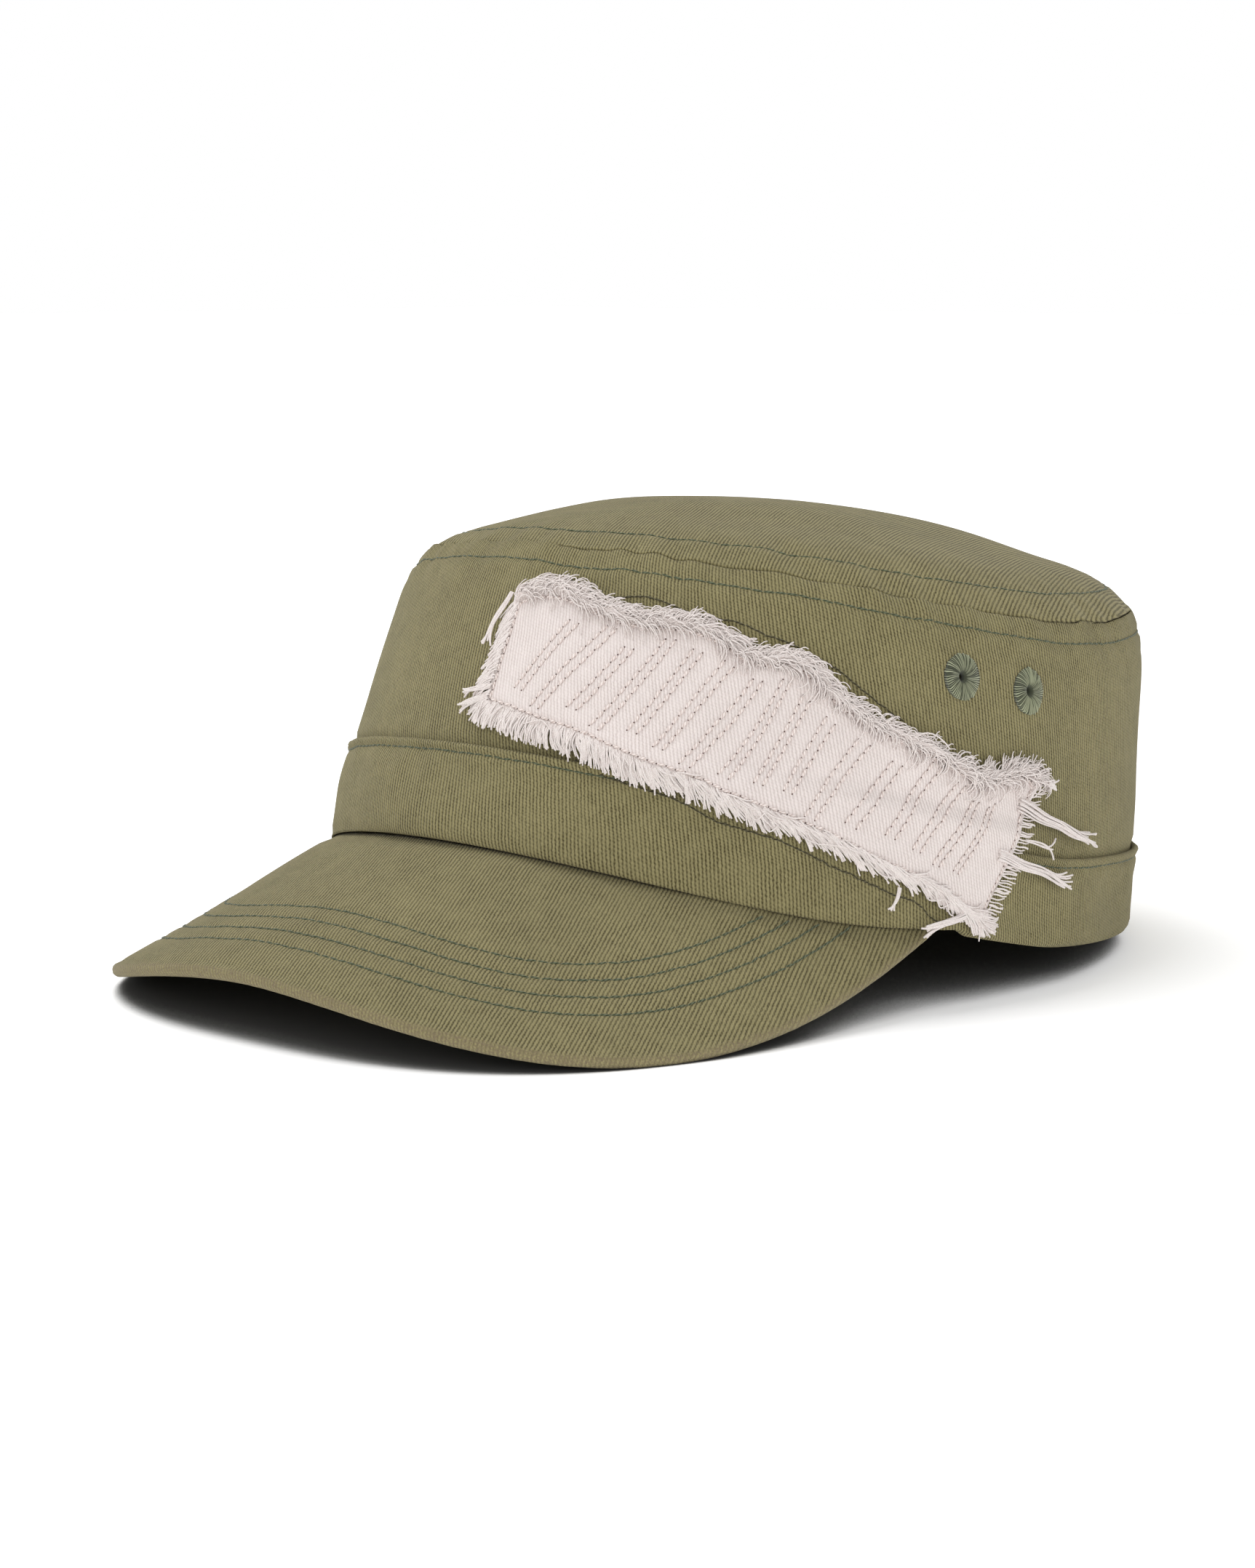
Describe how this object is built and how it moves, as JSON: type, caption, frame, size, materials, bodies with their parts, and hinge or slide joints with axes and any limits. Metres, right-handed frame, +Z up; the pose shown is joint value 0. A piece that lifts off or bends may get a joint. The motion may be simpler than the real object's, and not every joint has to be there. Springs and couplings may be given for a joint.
{
  "type": "cadet cap",
  "caption": "Flat-topped cadet cap in olive cotton twill with a folded band, a curved peak, embroidered eyelets and a frayed pale cloth patch on its side.",
  "frame": {"origin": "middle of the cap's footprint, on the surface that it lies on", "axes": "+Z up, -Y towards the tip of the peak, +X towards the wearer's left, which carries the patch"},
  "size_m": [0.1876, 0.2592, 0.1076],
  "materials": {
    "olive_twill": "washed cotton twill, matt",
    "pale_cloth": "woven cotton with frayed edges, matt",
    "green_thread": "polyester sewing thread, slight sheen"
  },
  "bodies": {
    "root": {"crown_top": "olive_twill", "crown_side": "olive_twill", "band": "olive_twill", "peak": "olive_twill", "patch": "pale_cloth", "eyelet_left_front": "green_thread", "eyelet_left_back": "green_thread", "eyelet_right_front": "green_thread", "eyelet_right_back": "green_thread"}
  },
  "joints": []
}
